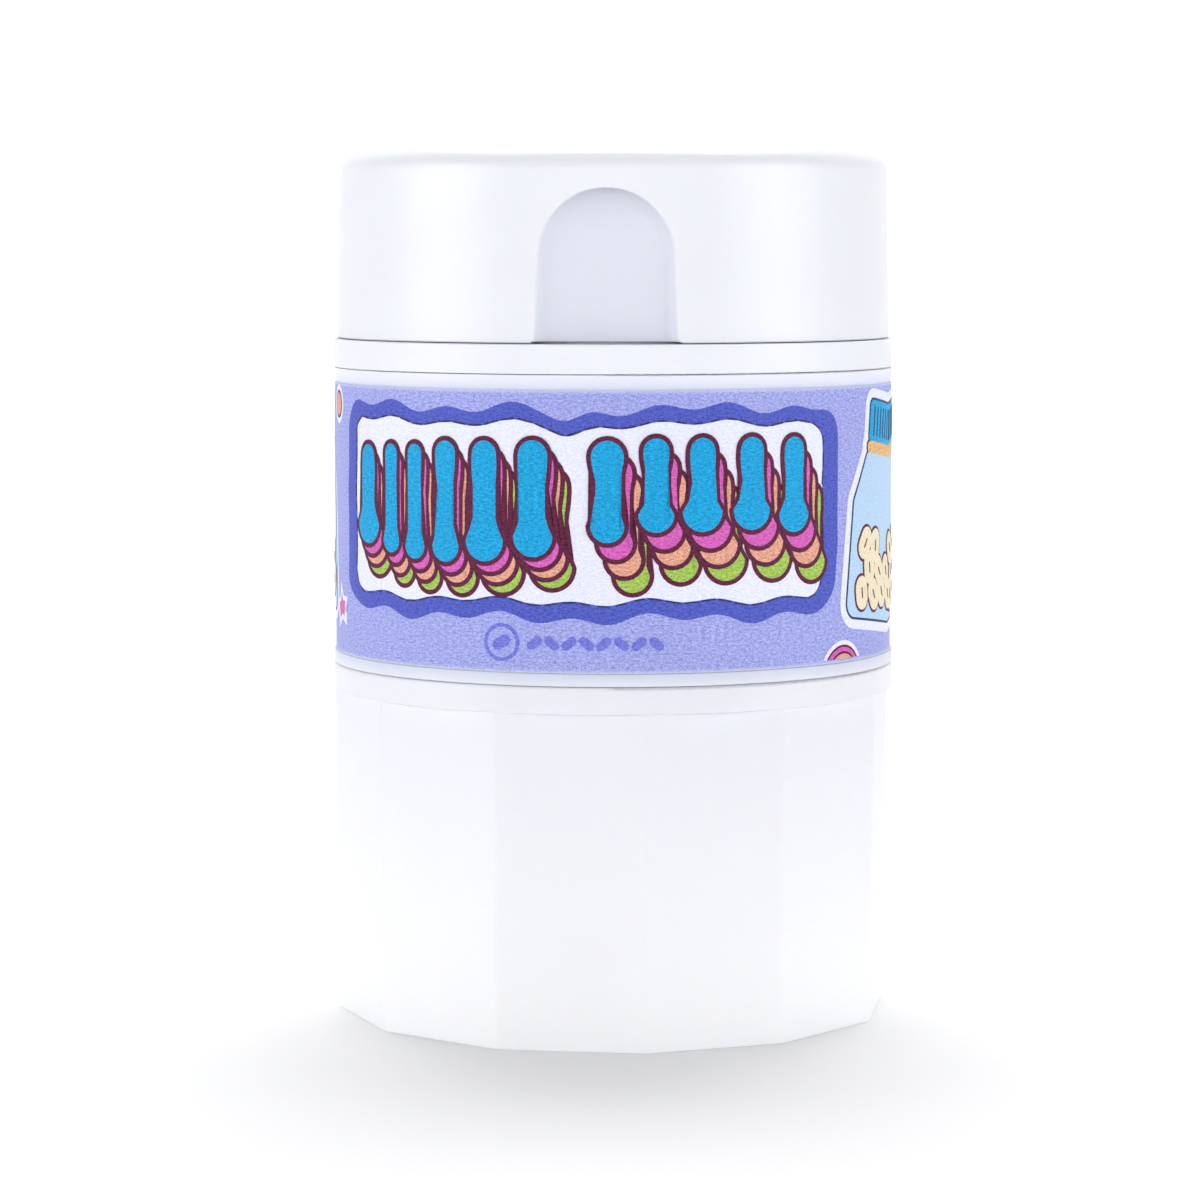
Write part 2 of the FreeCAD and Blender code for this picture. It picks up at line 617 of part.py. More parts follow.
def blade():
    half = BLADE_THICKNESS / 2
    section = [
        Vector(-half, BLADE_FRONT, BLADE_TOP), Vector(half, BLADE_FRONT, BLADE_TOP),
        Vector(half, BLADE_FRONT, BLADE_EDGE + BLADE_GRIND),
        Vector(0.02, BLADE_FRONT, BLADE_EDGE), Vector(-0.02, BLADE_FRONT, BLADE_EDGE),
        Vector(-half, BLADE_FRONT, BLADE_EDGE + BLADE_GRIND),
    ]
    return prism(section, Vector(0, BLADE_BACK - BLADE_FRONT, 0))


def blade_screws():
    return Part.makeCompound([
        pan_screw(0, y, CLAMP_PLATE, CLAMP_PLATE + BLADE_SCREW_LENGTH, True)
        for y in CLAMP_SCREWS_Y])


# ---- export -------------------------------------------------------------------------------------
NODES = {
    "drinking_cup": drinking_cup,
    "crusher_base": crusher_base,
    "cup_seal": lambda: seal_ring(CUP_SEAL),
    "crusher_seal": lambda: seal_ring(CRUSHER_SEAL),
    "crusher_plunger": crusher_plunger,
    "body_shell": body_shell,
    "label_band": label_band,
    "storage_tray": storage_tray,
    "storage_divider": storage_divider,
    "cutter_seal": lambda: seal_ring(CUTTER_SEAL),
    "cutter_tray": cutter_tray,
    "pill_holder": pill_holder,
    "grip_pads": grip_pads,
    "holder_screws": holder_screws,
    "hinge_pin": hinge_pin,
    "lid_shell": lid_shell,
    "blade_holder": blade_holder,
    "blade": blade,
    "blade_screws": blade_screws,
}

os.makedirs("parts", exist_ok=True)
for name, make in NODES.items():
    shape = make()
    solids = shape.Solids
    sound = all(s.isValid() and s.isClosed() and s.Volume > 0 for s in solids)
    print(f"{name}: {len(solids)} solid(s), {shape.Volume / 1000:.2f} cm3, sound {sound}")
    if len(solids) == 1:
        shape = solids[0]
    shape.exportStep(f"parts/{name}.step")
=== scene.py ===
"""Looks for the pill crusher: moulded white plastics, the printed sleeve, and a plain pale studio.

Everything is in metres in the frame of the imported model. Sizes written in millimetres are
multiplied by MM. On the sleeve, a place is (s, z): s is the distance round the sleeve from the
front, positive towards +X, and z the height above the cup's foot.
"""
import bmesh
import bpy
import json
import math
import random
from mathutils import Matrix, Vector

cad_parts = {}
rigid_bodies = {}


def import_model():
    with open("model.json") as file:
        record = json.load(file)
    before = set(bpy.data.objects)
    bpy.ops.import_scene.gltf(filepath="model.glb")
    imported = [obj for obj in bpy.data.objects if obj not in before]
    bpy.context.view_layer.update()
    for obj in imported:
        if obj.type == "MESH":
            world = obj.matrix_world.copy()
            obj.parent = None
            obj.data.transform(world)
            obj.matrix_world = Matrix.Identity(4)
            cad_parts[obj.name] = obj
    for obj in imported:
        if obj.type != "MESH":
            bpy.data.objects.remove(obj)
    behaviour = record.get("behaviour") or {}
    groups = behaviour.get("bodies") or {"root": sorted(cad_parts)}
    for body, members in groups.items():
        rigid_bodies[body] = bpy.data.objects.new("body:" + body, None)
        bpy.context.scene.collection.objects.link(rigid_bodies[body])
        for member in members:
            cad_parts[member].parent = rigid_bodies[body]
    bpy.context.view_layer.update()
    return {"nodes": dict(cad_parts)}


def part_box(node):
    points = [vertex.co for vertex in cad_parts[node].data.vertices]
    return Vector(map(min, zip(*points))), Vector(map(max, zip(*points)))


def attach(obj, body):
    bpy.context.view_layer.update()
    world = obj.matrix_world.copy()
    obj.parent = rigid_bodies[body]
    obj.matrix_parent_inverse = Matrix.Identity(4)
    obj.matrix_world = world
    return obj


for leftover in list(bpy.data.objects):
    bpy.data.objects.remove(leftover, do_unlink=True)
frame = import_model()
NODES = frame["nodes"]

MM = 0.001
SLEEVE_LOW, SLEEVE_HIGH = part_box("label_band")
SLEEVE_RADIUS = SLEEVE_HIGH.x / MM
SLEEVE_FOOT = SLEEVE_LOW.z / MM
SLEEVE_TOP = SLEEVE_HIGH.z / MM
SLEEVE_ROUND = 2 * math.pi * SLEEVE_RADIUS
REPEAT = SLEEVE_ROUND / 2           # the print comes twice round the sleeve


PAINT = 0.92        # the studio is bright, so every paint is this much darker than its tone in it


def colour(r, g, b):
    """Linear paint colour that comes out near the given 0-255 screen values in the studio."""
    def linear(v):
        v /= 255.0
        return PAINT * (v / 12.92 if v <= 0.04045 else ((v + 0.055) / 1.055) ** 2.4)
    return (linear(r), linear(g), linear(b), 1.0)


# moulded plastic: scales of its marks for each metre, and how strong they are
FLOW_SCALE, PEEL_SCALE, RUB_SCALE, SPECK_CELLS = 55.0, 1500.0, 240.0, 95.0
FLOW_SHADE = 0.972
FLOW_BUMP, PEEL_BUMP = 0.12, 0.10
SPECK_RARITY, SPECK_STRENGTH = 0.88, 0.55
SPECK_GREY = colour(120, 116, 110)

# painted shade of the thumb recess, in millimetres
RECESS_EDGE = (0.08, 0.4)       # its painted shade comes in between these depths below the lid's wall
RECESS_SPREAD = 0.5             # and no further back than this behind its floor
RECESS_OVER = 0.6               # nor higher than this above its arch
COVE_EDGE = (0.55, 0.02)        # the cove's darker painted shade gives way to the floor's between these depths


# ---- node helpers -------------------------------------------------------------------------------
class Look:
    """A material whose nodes are added one by one."""

    def __init__(self, name):
        self.material = bpy.data.materials.new(name)
        self.material.use_nodes = True
        self.tree = self.material.node_tree
        self.shader = self.tree.nodes["Principled BSDF"]

    def add(self, kind, settings=None, **inputs):
        """Adds a node. Inputs are numbers or another node's output socket."""
        node = self.tree.nodes.new(kind)
        for key, value in (settings or {}).items():
            setattr(node, key, value)
        for key, value in inputs.items():
            self.feed(node, key.replace("_", " "), value)
        return node

    def feed(self, node, key, value):
        socket = node.inputs[int(key)] if key.isdigit() else node.inputs[key]
        if isinstance(value, bpy.types.NodeSocket):
            self.tree.links.new(value, socket)
        else:
            socket.default_value = value

    def math(self, operation, first, second=0.0):
        node = self.add("ShaderNodeMath", {"operation": operation})
        self.feed(node, "0", first)
        self.feed(node, "1", second)
        return node.outputs[0]

    def place(self):
        return self.add("ShaderNodeTexCoord").outputs["Object"]

    def noise(self, where, scale, detail, roughness):
        return self.add("ShaderNodeTexNoise", Vector=where, Scale=scale, Detail=detail,
                        Roughness=roughness).outputs["Fac"]

    def span(self, value, low, high, out_low, out_high):
        """Maps low..high to out_low..out_high, clamped."""
        node = self.add("ShaderNodeMapRange", {"clamp": True})
        for i, number in enumerate((value, low, high, out_low, out_high)):
            self.feed(node, str(i), number)
        return node.outputs[0]

    def mix(self, share, first, second):
        """Mixes two colours: all of the first at share 0, all of the second at share 1."""
        node = self.add("ShaderNodeMix", {"data_type": "RGBA"})
        self.feed(node, "0", share)
        self.feed(node, "6", first)
        self.feed(node, "7", second)
        return node.outputs[2]

    def bump(self, height, strength, distance, normal=None):
        node = self.add("ShaderNodeBump", Strength=strength, Distance=distance, Height=height)
        if normal is not None:
            self.feed(node, "Normal", normal)
        return node.outputs["Normal"]

    def set(self, **inputs):
        for key, value in inputs.items():
            self.feed(self.shader, key.replace("_", " "), value)


def thumb_recess(look, base, place, recess_shade):
    """Painted shade in the lid's thumb recess, laid over the lid's own colour.

    hollow is how far forward the recess's floor lies, the lid wall's radius at two heights, the
    painted shade of its cove and of its floor, and the painted shade that darkens its upper end:
    the height where that starts, the height where it is full, and its colour.
    """
    x, y, z = place
    floor, (low, low_radius), (high, high_radius), cove, deep, (begin, full, shade) = recess_shade
    wall = look.span(z, low * MM, high * MM, low_radius * MM, high_radius * MM)
    round_axis = look.math("SQRT", look.math("ADD", look.math("MULTIPLY", x, x),
                                             look.math("MULTIPLY", y, y)))
    below_wall = look.math("SUBTRACT", wall, round_axis)
    sunk = look.span(below_wall, RECESS_EDGE[0] * MM, RECESS_EDGE[1] * MM, 0.0, 1.0)
    front = look.math("MULTIPLY", look.math("LESS_THAN", y, (RECESS_SPREAD - floor) * MM),
                      look.math("LESS_THAN", z, (full + RECESS_OVER) * MM))
    settled = look.span(y, -(floor + COVE_EDGE[0]) * MM, -(floor + COVE_EDGE[1]) * MM, 0.0, 1.0)
    arch = look.span(z, begin * MM, full * MM, 0.0, 1.0)
    # painted shade: the cove darker than the floor, and darker again towards the recess's upper end
    dim = look.mix(look.math("MULTIPLY", arch, arch), look.mix(settled, cove, deep), shade)
    return look.mix(look.math("MULTIPLY", sunk, front), base, dim)


def moulded(name, tint, gloss, painted_shade=None, recess_shade=None):
    """White injection-moulded plastic: faint flow marks, a fine orange peel, and rare grey specks.

    cast is painted shade (height where it is full, height where it has faded out, colour), tinted
    with the sleeve's lavender next to the sleeve; hollow is the thumb recess's painted shade.
    """
    look = Look(name)
    where = look.place()
    flow = look.noise(where, FLOW_SCALE, 3.0, 0.45)
    peel = look.noise(where, PEEL_SCALE, 2.0, 0.5)
    rub = look.noise(where, RUB_SCALE, 4.0, 0.6)
    shaded = tuple(c * FLOW_SHADE for c in tint[:3]) + (1.0,)
    base = look.mix(look.span(flow, 0.3, 0.7, 0.0, 1.0), shaded, tint)
    x, y, z = look.add("ShaderNodeSeparateXYZ", Vector=where).outputs
    # painted shade: the given colour is laid on fully at one height and fades out by another
    if painted_shade:
        near, far, shade = painted_shade
        fade = look.span(z, near * MM, far * MM, 1.0, 0.0)
        base = look.mix(fade, base, shade)
    if recess_shade:
        base = thumb_recess(look, base, (x, y, z), recess_shade)
    cells = look.add("ShaderNodeTexVoronoi", Vector=where, Scale=SPECK_CELLS)
    dot = look.span(cells.outputs["Distance"], 0.006, 0.011, 1.0, 0.0)
    chosen = look.add("ShaderNodeSeparateColor", Color=cells.outputs["Color"]).outputs[0]
    speck = look.math("MULTIPLY", dot, look.math("GREATER_THAN", chosen, SPECK_RARITY))
    base = look.mix(look.math("MULTIPLY", speck, SPECK_STRENGTH), base, SPECK_GREY)
    rough = look.span(rub, 0.3, 0.7, gloss - 0.02, gloss + 0.07)
    normal = look.bump(peel, PEEL_BUMP, 0.02 * MM)
    normal = look.bump(flow, FLOW_BUMP, 0.15 * MM, normal)
    look.set(Base_Color=base, Roughness=rough, Normal=normal, IOR=1.49,
             Subsurface_Weight=0.12, Subsurface_Scale=1.2 * MM)
    return look.material


def rubber(name, tint):
    """Soft rubber with a fine matt grain and paler, dusty patches."""
    look = Look(name)
    where = look.place()
    grain = look.noise(where, 2600.0, 3.0, 0.6)
    patch = look.noise(where, 180.0, 3.0, 0.5)
    dusty = tuple(min(1.0, c * 1.12) for c in tint[:3]) + (1.0,)
    look.set(Base_Color=look.mix(look.span(patch, 0.35, 0.7, 0.0, 1.0), tint, dusty),
             Roughness=look.span(patch, 0.3, 0.7, 0.52, 0.68),
             Normal=look.bump(grain, 0.25, 0.02 * MM), IOR=1.45, Subsurface_Weight=0.1,
             Subsurface_Scale=1.0 * MM)
    return look.material


def brushed(name, tint, direction, gloss):
    """Brushed steel: fine lines along the axes that direction makes small, and cloudy gloss."""
    look = Look(name)
    stretch = look.add("ShaderNodeVectorMath", {"operation": "MULTIPLY"})
    look.feed(stretch, "0", look.place())
    look.feed(stretch, "1", direction)
    lines = look.noise(stretch.outputs[0], 9000.0, 3.0, 0.6)
    cloud = look.noise(look.place(), 300.0, 3.0, 0.5)
    dark = tuple(c * 0.8 for c in tint[:3]) + (1.0,)
    look.set(Base_Color=look.mix(look.span(lines, 0.35, 0.65, 0.0, 1.0), dark, tint),
             Metallic=1.0, Roughness=look.span(cloud, 0.3, 0.7, gloss, gloss + 0.12),
             Normal=look.bump(lines, 0.15, 0.01 * MM))
    return look.material


def sleeve_place(look):
    """(s, z) on the sleeve in metres, as a vector, and z alone."""
    axes = look.add("ShaderNodeSeparateXYZ", Vector=look.place())
    x, y, z = axes.outputs
    turn = look.math("ARCTAN2", x, look.math("MULTIPLY", y, -1.0))
    s = look.math("MULTIPLY", turn, SLEEVE_RADIUS * MM)
    return look.add("ShaderNodeCombineXYZ", X=s, Y=z).outputs[0], z


# the print's grain: stretch along the sleeve, scale for each metre, and detail of its noises
LEVEL_THREADS = (0.45, 5200.0, 3.0)
FINE_THREADS = (0.85, 7500.0, 2.0)
PRINT_CLOUD = (1.0, 160.0, 2.0)
GRAIN_LIFT, GRAIN_FLECK, GRAIN_SINK = 0.42, 0.02, 0.40      # how far it lightens and darkens ink
BRIGHTEST = 0.95
CUT_EDGE, CUT_SHARE = 0.3, 0.6      # width of the sleeve's pale cut edges, and how pale they are
CUT_PAPER = colour(214, 217, 240)


def printed(name, ink, strength=1.0, edge_fade=False):
    """Ink on the sleeve: a canvas-like grain of short level threads, in its colour and its bump."""
    look = Look(name)
    where, z = sleeve_place(look)

    def threads(along, scale, detail):
        stretch = look.add("ShaderNodeVectorMath", {"operation": "MULTIPLY"})
        look.feed(stretch, "0", where)
        look.feed(stretch, "1", (along, 1.0, 1.0))
        return look.noise(stretch.outputs[0], scale, detail, 0.65)

    level, fine, cloud = threads(*LEVEL_THREADS), threads(*FINE_THREADS), threads(*PRINT_CLOUD)
    grain = look.math("ADD", look.math("MULTIPLY", level, 0.5), look.math("MULTIPLY", fine, 0.5))
    lift, fleck = 1.0 + GRAIN_LIFT * strength, GRAIN_FLECK * strength
    sink = 1.0 - GRAIN_SINK * strength
    lighter = tuple(min(BRIGHTEST, c * lift + fleck) for c in ink[:3]) + (1.0,)
    darker = tuple(c * sink for c in ink[:3]) + (1.0,)
    base = look.mix(look.span(grain, 0.38, 0.62, 0.0, 1.0), darker, lighter)
    base = look.mix(look.span(cloud, 0.3, 0.7, 0.0, 0.10), base, darker)
    if edge_fade:
        top = look.span(z, (SLEEVE_TOP - CUT_EDGE) * MM, SLEEVE_TOP * MM, 0.0, CUT_SHARE)
        foot = look.span(z, SLEEVE_FOOT * MM, (SLEEVE_FOOT + CUT_EDGE) * MM, CUT_SHARE, 0.0)
        base = look.mix(look.math("MAXIMUM", top, foot), base, CUT_PAPER)
    look.set(Base_Color=base, Roughness=look.span(grain, 0.35, 0.65, 0.42, 0.56),
             Normal=look.bump(grain, 0.30, 0.03 * MM), IOR=1.46, Specular_IOR_Level=0.12)
    return look.material


# ---- the printed sleeve -------------------------------------------------------------------------
STRIP = 0.6         # the film is cut into upright strips this wide, so that it follows the curve
FILM = 0.011        # height of one layer of print above the last
NUDGE = 0.0004      # each shape stands this much prouder than the one before it in its layer
FILM_BACK = 0.25    # share of a film's height at which every shape starts
PRINT_TURN = 0.64   # the print lies this far round the sleeve from the front


def puffed(skeleton, radius, steps=8):
    """Outline of a point, a line or a convex polygon (anticlockwise) swollen by a radius."""
    if len(skeleton) == 1:
        s, z = skeleton[0]
        return [(s + radius * math.cos(a), z + radius * math.sin(a))
                for a in (math.pi * i / (2 * steps) for i in range(4 * steps))]
    points = []
    count = len(skeleton)
    for i, (s, z) in enumerate(skeleton):
        last, following = skeleton[i - 1], skeleton[(i + 1) % count]
        into = math.atan2(z - last[1], s - last[0]) - math.pi / 2
        out = math.atan2(following[1] - z, following[0] - s) - math.pi / 2
        while out < into:
            out += 2 * math.pi
        for k in range(steps + 1):
            a = into + (out - into) * k / steps
            points.append((s + radius * math.cos(a), z + radius * math.sin(a)))
    return points


def stadium(s, z, length, tilt):
    """Skeleton of a capsule: the two centres of its ends. The tilt is in degrees from upright."""
    ds, dz = math.sin(math.radians(tilt)) * length / 2, math.cos(math.radians(tilt)) * length / 2
    return [(s - ds, z - dz), (s + ds, z + dz)]


def film(name, outlines, layer, material):
    """Closed thin films on the sleeve, in one object, at one layer of the print."""
    mesh = bmesh.new()
    rise = {}
    for number, outline in enumerate(outlines):
        piece = bmesh.new()
        piece.faces.new([piece.verts.new((s, 0.0, z)) for s, z in outline])
        bmesh.ops.triangulate(piece, faces=piece.faces[:])
        across = [s for s, _ in outline]
        for i in range(math.ceil(min(across) / STRIP), math.floor(max(across) / STRIP) + 1):
            bmesh.ops.bisect_plane(piece, geom=piece.verts[:] + piece.edges[:] + piece.faces[:],
                                   plane_co=(i * STRIP, 0, 0), plane_no=(1, 0, 0))
        proud = layer * FILM + number * NUDGE
        made = bmesh.ops.extrude_face_region(piece, geom=piece.faces[:])
        outer = {v for v in made["geom"] if isinstance(v, bmesh.types.BMVert)}
        for v in piece.verts:
            radius = (SLEEVE_RADIUS + (proud if v in outer else FILM_BACK * FILM)) * MM
            turn = (v.co.x + PRINT_TURN) / SLEEVE_RADIUS
            v.co = Vector((radius * math.sin(turn), -radius * math.cos(turn), v.co.z * MM))
        bmesh.ops.recalc_face_normals(piece, faces=piece.faces[:])
        data = bpy.data.meshes.new("film_part")
        piece.to_mesh(data)
        piece.free()
        mesh.from_mesh(data)
        bpy.data.meshes.remove(data)
    data = bpy.data.meshes.new(name)
    mesh.to_mesh(data)
    mesh.free()
    made = bpy.data.objects.new(name, data)
    bpy.context.scene.collection.objects.link(made)
    data.materials.append(material)
    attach(made, "main_body")


def both(shapes):
    """The same shapes, and again half way round the sleeve."""
    return [[(s + shift, z) for s, z in shape] for shift in (0.0, REPEAT) for shape in shapes]


INK = {
    "ground": colour(158, 164, 237),
    "violet": colour(76, 88, 188),
    "white": colour(229, 231, 255),
    "maroon": colour(92, 20, 58),
    "blue": colour(4, 158, 214),
    "pink": colour(208, 94, 182),
    "orange": colour(226, 160, 136),
    "green": colour(158, 192, 84),
    "pale_blue": colour(181, 211, 240),
    "navy": colour(44, 50, 98),
    "amber": colour(230, 178, 118),
    "cream": colour(236, 222, 194),
    "dusk": colour(114, 117, 212),
}
PALE_INKS = ("white", "cream", "pale_blue")
PALE_GRAIN = 0.35           # the grain shows this much less in the pale inks
INKS = {name: printed("print_" + name, ink, PALE_GRAIN if name in PALE_INKS else 1.0)
        for name, ink in INK.items() if name != "ground"}

# frame and panel
PANEL = (-28.8, 20.8, 40.3, 55.9)       # s0, s1, z0, z1
PANEL_CORNER = 1.6
PANEL_DIP = (-3.8, 1.1, 1.9)        # where the upper edge dips, how far and how wide
PANEL_WAVE, FRAME_WAVE = 0.42, 0.62
PANEL_SEED = 5
FRAME_MARGIN = 2.2
FRAME_BELOW, FRAME_ABOVE = 0.70, 0.62       # share of the margin under and over the panel
OUTLINE_STEP = 0.4
DASH_LENGTH, DASH_GAP, DASH_HALF, DASH_OUT = 1.1, 0.5, 0.08, 0.12
SHORTEST_DASH = 0.3


def wavy_panel(grow, wave, seed):
    """Upright rectangle with round corners whose long edges wander, with a dip in the upper one."""
    s0, s1, z0, z1 = PANEL
    s0, s1, z0, z1 = s0 - grow, s1 + grow, z0 - grow * FRAME_BELOW, z1 + grow * FRAME_ABOVE
    corner = PANEL_CORNER + grow * 0.5
    rng = random.Random(seed)
    phases = [rng.uniform(0, 2 * math.pi) for _ in range(6)]

    def sway(t, k):
        short, long = math.sin(t / 1.05 + phases[k]), math.sin(t / 2.6 + phases[k + 1])
        return wave * (0.55 * short + 0.45 * long)

    outline = puffed([(s0 + corner, z0 + corner), (s1 - corner, z0 + corner),
                      (s1 - corner, z1 - corner), (s0 + corner, z1 - corner)], corner, 6)
    dense = []
    for i, (s, z) in enumerate(outline):
        ns, nz = outline[(i + 1) % len(outline)]
        steps = max(1, int(math.hypot(ns - s, nz - z) / OUTLINE_STEP))
        dense += [(s + (ns - s) * k / steps, z + (nz - z) * k / steps) for k in range(steps)]
    middle = (z0 + z1) / 2
    dip_place, dip_depth, dip_width = PANEL_DIP
    result = []
    for s, z in dense:
        share = (z - middle) / ((z1 - z0) / 2)
        side = 0 if share > 0 else 2
        dip = dip_depth * math.exp(-((s - dip_place) / dip_width) ** 2) if share > 0 else 0.0
        result.append((s + 0.25 * wave * math.sin(z / 1.3 + phases[4]),
                       z + abs(share) * (sway(s, side) - dip)))
    return result


def dashes(outline, length, gap, half):
    """Short strokes that follow a closed outline."""
    strokes, walked, start = [], 0.0, None
    for i, point in enumerate(outline):
        following = outline[(i + 1) % len(outline)]
        step = math.dist(point, following)
        place = walked % (length + gap)
        if place < length and start is None:
            start = point
        if place + step >= length and start is not None:
            if math.dist(start, following) > SHORTEST_DASH:
                strokes.append(puffed([start, following], half, 2))
            start = None
        walked += step
    return strokes


panel_edge = wavy_panel(0.0, PANEL_WAVE, PANEL_SEED)
frame_edge = wavy_panel(FRAME_MARGIN, FRAME_WAVE, PANEL_SEED)
dashed_line = wavy_panel(DASH_OUT, PANEL_WAVE, PANEL_SEED)
film("print_frame", both([frame_edge]), 1, INKS["violet"])
film("print_panel", both([panel_edge]), 2, INKS["white"])
film("print_dashes", both(dashes(dashed_line, DASH_LENGTH, DASH_GAP, DASH_HALF)), 3, INKS["navy"])

# two groups of upright drops, each with three copies behind it that step down to the right
OUTLINE = 0.42
# middle s, foot z, head z, foot radius, waist radius, head radius
DROPS_LEFT = (
    (-26.35, 44.6, 53.6, 1.85, 1.05, 1.10), (-22.6, 44.0, 53.8, 1.15, 0.60, 0.85),
    (-19.4, 43.6, 53.9, 1.20, 0.60, 0.85), (-15.8, 43.5, 54.3, 1.45, 0.72, 1.10),
    (-11.75, 43.7, 54.4, 1.85, 1.00, 1.20), (-7.15, 44.2, 54.5, 1.80, 1.00, 1.35),
)
DROPS_RIGHT = (
    (-0.5, 45.5, 54.5, 1.50, 0.85, 1.45), (3.8, 46.4, 54.7, 1.60, 0.70, 1.15),
    (8.0, 46.4, 54.7, 1.85, 0.95, 1.15), (12.75, 46.45, 54.7, 1.85, 0.95, 1.15),
    (17.3, 46.1, 54.6, 1.70, 0.90, 1.10),
)
STEP_LEFT = (0.58, -0.90)
STEP_RIGHT = (0.74, -1.46)


def drop(s, foot, head, foot_radius, waist, head_radius, grow=0.0):
    """Outline of a drop that is round at both ends and narrower between them."""
    low, high = foot + foot_radius, head - head_radius
    side = []
    for k in range(1, 12):
        t = k / 12
        ends = foot_radius + (head_radius - foot_radius) * t
        pinch = math.sin(math.pi * t ** 0.8) ** 1.5
        side.append((ends + (waist - ends) * pinch + grow, low + (high - low) * t))
    points = [(s + (foot_radius + grow) * math.cos(a), low + (foot_radius + grow) * math.sin(a))
              for a in (math.pi * (1 + k / 14) for k in range(15))]
    points += [(s + w, z) for w, z in side]
    points += [(s + (head_radius + grow) * math.cos(a), high + (head_radius + grow) * math.sin(a))
               for a in (math.pi * k / 12 for k in range(13))]
    return points + [(s - w, z) for w, z in reversed(side)]


def stepped(shape, step, depth):
    """The shape moved by so many steps."""
    return [(s + step[0] * depth, z + step[1] * depth) for s, z in shape]


for depth, ink in ((3, "green"), (2, "orange"), (1, "pink"), (0, "blue")):
    layer = 4 + 2 * (3 - depth)
    for part, grow, tone in (("outline", OUTLINE, "maroon"), ("fill", 0.0, ink)):
        shapes = [stepped(drop(*d, grow), STEP_LEFT, depth) for d in DROPS_LEFT]
        shapes += [stepped(drop(*d, grow), STEP_RIGHT, depth) for d in DROPS_RIGHT]
        film(f"print_{part}_{depth}", both(shapes), layer + (part == "fill"), INKS[tone])

# a plain ornament under the panel: a ring with a capsule in it, and a row of small capsules
RING = (-10.1, 36.6)
RING_RADIUS, RING_LINE = 1.7, 0.35
CAPSULES, CAPSULE_START, CAPSULE_STEP, CAPSULE_TILT = 8, -7.0, 1.55, 52
film("print_ring", both([puffed([RING], RING_RADIUS)]), 1, INKS["dusk"])
film("print_ring_inside", both([puffed([RING], RING_RADIUS - RING_LINE)]), 2,
     printed("print_ground_again", INK["ground"]))
row = [stadium(CAPSULE_START + CAPSULE_STEP * i, RING[1], 0.7, CAPSULE_TILT * (1 - 2 * (i % 2)))
       for i in range(CAPSULES)]
film("print_small_capsules",
     both([puffed(stadium(*RING, 0.9, 60), 0.5)] + [puffed(capsule, 0.4) for capsule in row]),
     3, INKS["dusk"])

# jars of tablets, a star, and loose tablets between the panels
STICKER = 0.85      # white border of a sticker
LINE = 0.22
JARS = ((31.6, 7.0), (-43.0, -6.0))         # middle and lean of each jar
JAR_MIDDLE = 47.0                           # a jar leans about this height
GLASS_HALF, NECK_HALF = 4.6, 2.8
GLASS_FOOT, GLASS_SHOULDER, GLASS_TOP = 38.6, 47.5, 51.4
CAP_HALF, CAP_FOOT, CAP_TOP = 3.0, 54.0, 56.6
JAR_COLLAR_HALF, JAR_COLLAR_Z = 3.3, 52.9
GLASS_ROUND, CAP_ROUND, JAR_COLLAR_ROUND = 1.3, 0.6, 0.55
RIBS, RIB_START, RIB_STEP = 7, -2.6, 0.87
HEAP_SEED, HEAP_ROWS, HEAP_WIDEST = 31, 3, 4
HEAP_LEFT, HEAP_FOOT = -3.2, 39.8           # the first tablet of the lowest row
HEAP_ACROSS, HEAP_UP, HEAP_SHIFT = 2.4, 2.2, 1.1
TABLET_ROUND, TABLET_LINE, TABLET_LENGTH = 1.12, 0.24, 0.9


def jar(centre, lean):
    """Skeletons of a jar's body, cap and collar, and what puts further points on that jar."""
    def at(points):
        a = math.radians(lean)
        return [(centre + s * math.cos(a) + (z - JAR_MIDDLE) * math.sin(a),
                 JAR_MIDDLE + (z - JAR_MIDDLE) * math.cos(a) - s * math.sin(a)) for s, z in points]
    body = at([(-GLASS_HALF, GLASS_FOOT), (GLASS_HALF, GLASS_FOOT), (GLASS_HALF, GLASS_SHOULDER),
               (NECK_HALF, GLASS_TOP), (-NECK_HALF, GLASS_TOP), (-GLASS_HALF, GLASS_SHOULDER)])
    cap = at([(-CAP_HALF, CAP_FOOT), (CAP_HALF, CAP_FOOT),
              (CAP_HALF, CAP_TOP), (-CAP_HALF, CAP_TOP)])
    collar = at([(-JAR_COLLAR_HALF, JAR_COLLAR_Z), (JAR_COLLAR_HALF, JAR_COLLAR_Z)])
    return body, cap, collar, at


def sticker_parts():
    """Outlines of both jars, grouped by the ink that they are printed in."""
    parts = {k: [] for k in ("border", "line", "glass", "cap", "collar", "rib", "edge", "tablet",
                             "score")}
    for number, (centre, lean) in enumerate(JARS):
        body, cap, collar, at = jar(centre, lean)
        for bones, r in ((body, GLASS_ROUND), (cap, CAP_ROUND), (collar, JAR_COLLAR_ROUND)):
            parts["border"].append(puffed(bones, r + LINE + STICKER))
            parts["line"].append(puffed(bones, r + LINE))
        parts["glass"].append(puffed(body, GLASS_ROUND))
        parts["cap"].append(puffed(cap, CAP_ROUND))
        parts["collar"].append(puffed(collar, JAR_COLLAR_ROUND))
        for s in (RIB_START + RIB_STEP * k for k in range(RIBS)):
            parts["rib"].append(puffed(at([(s, CAP_FOOT), (s, CAP_TOP)]), 0.1, 2))
        heap = random.Random(HEAP_SEED + number)
        for level in range(HEAP_ROWS):
            for k in range(HEAP_WIDEST - level):
                s = HEAP_LEFT + HEAP_ACROSS * k + HEAP_SHIFT * (level % 2) + heap.uniform(-0.2, 0.2)
                z = HEAP_FOOT + HEAP_UP * level + heap.uniform(-0.3, 0.3)
                oval = stadium(*at([(s, z)])[0], TABLET_LENGTH, heap.uniform(-40, 40))
                parts["edge"].append(puffed(oval, TABLET_ROUND + TABLET_LINE))
                parts["tablet"].append(puffed(oval, TABLET_ROUND))
                parts["score"].append(puffed(oval, 0.08, 2))
    return parts


